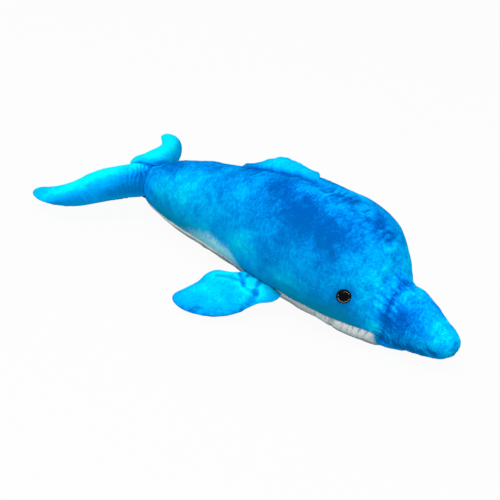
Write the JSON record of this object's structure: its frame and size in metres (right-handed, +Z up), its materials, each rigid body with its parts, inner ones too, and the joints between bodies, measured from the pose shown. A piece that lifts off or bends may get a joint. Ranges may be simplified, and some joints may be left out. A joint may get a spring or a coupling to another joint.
{
  "type": "plush dolphin",
  "caption": "Stuffed plush dolphin lying on its belly, blue crushed pile with a pale belly, soft sewn fin, flippers and tail flukes that bend at their seams.",
  "frame": {"origin": "under the middle of the whole toy, on the surface that it lies on", "axes": "+X forward to the tip of the beak, +Y to the toy's left, +Z up"},
  "size_m": [0.5308, 0.272, 0.1427],
  "materials": {
    "blue_plush": "short crushed pile, mottled from deep blue to cyan",
    "white_plush": "short off-white pile with wrinkles",
    "stuffing": "loose polyester fibre",
    "eye_black": "polished black safety eye",
    "washer_plastic": "moulded lock washer"
  },
  "bodies": {
    "body": {"right_eye": "eye_black", "right_eye_washer": "washer_plastic", "left_eye": "eye_black", "left_eye_washer": "washer_plastic", "right_side_panel": "blue_plush", "left_side_panel": "blue_plush", "belly_panel": "white_plush", "beak_upper_panel": "blue_plush", "beak_lower_panel": "blue_plush", "body_filling": "stuffing"},
    "right_flipper": {"right_flipper_upper_panel": "blue_plush", "right_flipper_lower_panel": "blue_plush", "right_flipper_filling": "stuffing"},
    "left_flipper": {"left_flipper_upper_panel": "blue_plush", "left_flipper_lower_panel": "blue_plush", "left_flipper_filling": "stuffing"},
    "dorsal_fin": {"dorsal_fin_right_panel": "blue_plush", "dorsal_fin_left_panel": "blue_plush", "dorsal_fin_filling": "stuffing"},
    "right_fluke": {"right_fluke_upper_panel": "blue_plush", "right_fluke_lower_panel": "blue_plush", "right_fluke_filling": "stuffing"},
    "left_fluke": {"left_fluke_upper_panel": "blue_plush", "left_fluke_lower_panel": "blue_plush", "left_fluke_filling": "stuffing"}
  },
  "joints": [
    {"name": "right_flipper_root", "type": "hinge", "parent": "body", "child": "right_flipper", "pos_m": [0.05225, -0.0513, 0.02416], "axis": [-0.998, 0.0625, 0], "range_deg": [-45, 25], "stiffness_Nm_per_rad": 0.1},
    {"name": "left_flipper_root", "type": "hinge", "parent": "body", "child": "left_flipper", "pos_m": [0.05225, 0.0513, 0.02416], "axis": [0.998, 0.0625, 0], "range_deg": [-45, 25], "stiffness_Nm_per_rad": 0.1},
    {"name": "dorsal_fin_root", "type": "hinge", "parent": "body", "child": "dorsal_fin", "pos_m": [0.01381, 0, 0.12979], "axis": [0.9762, 0, 0.2169], "range_deg": [0, 88], "stiffness_Nm_per_rad": 0.1},
    {"name": "right_fluke_root", "type": "hinge", "parent": "body", "child": "right_fluke", "pos_m": [-0.16895, 0, 0.044], "axis": [-1, 0, 0], "range_deg": [-25, 40], "stiffness_Nm_per_rad": 0.1},
    {"name": "left_fluke_root", "type": "hinge", "parent": "body", "child": "left_fluke", "pos_m": [-0.16895, 0, 0.044], "axis": [1, 0, 0], "range_deg": [-30, 35], "stiffness_Nm_per_rad": 0.1}
  ]
}
